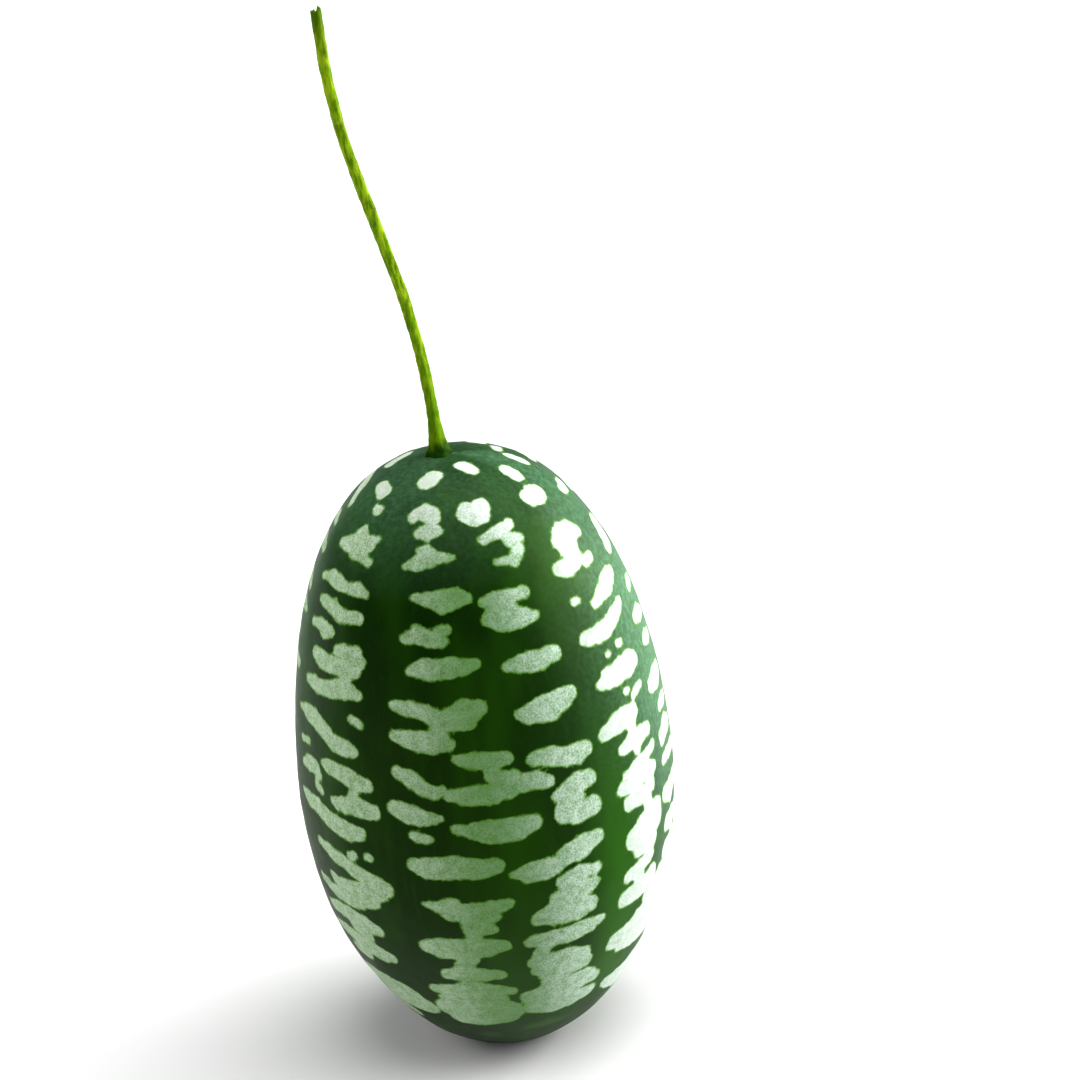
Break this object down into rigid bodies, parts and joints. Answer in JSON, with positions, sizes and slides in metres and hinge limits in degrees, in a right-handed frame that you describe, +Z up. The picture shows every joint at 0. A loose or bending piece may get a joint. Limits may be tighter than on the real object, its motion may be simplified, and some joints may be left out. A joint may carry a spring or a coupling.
{
  "type": "mouse melon",
  "caption": "Whole mouse melon (cucamelon) as picked: small dark green egg-shaped fruit with pale blotched bands, standing upright with its thin leaning stalk.",
  "frame": {"origin": "centre of the flat spot under the blossom end, on which the fruit rests", "axes": "+Z up along the fruit from blossom end to stalk, -Y the front, -X the way the stalk leans"},
  "size_m": [0.019, 0.019, 0.0534],
  "materials": {
    "fruit_skin": "thin waxy skin, dark green with ragged pale grey-green blotches in bands",
    "stem_green": "fresh yellow-green stalk, slightly ribbed"
  },
  "bodies": {
    "root": {"fruit": "fruit_skin", "stem": "stem_green"}
  },
  "joints": []
}
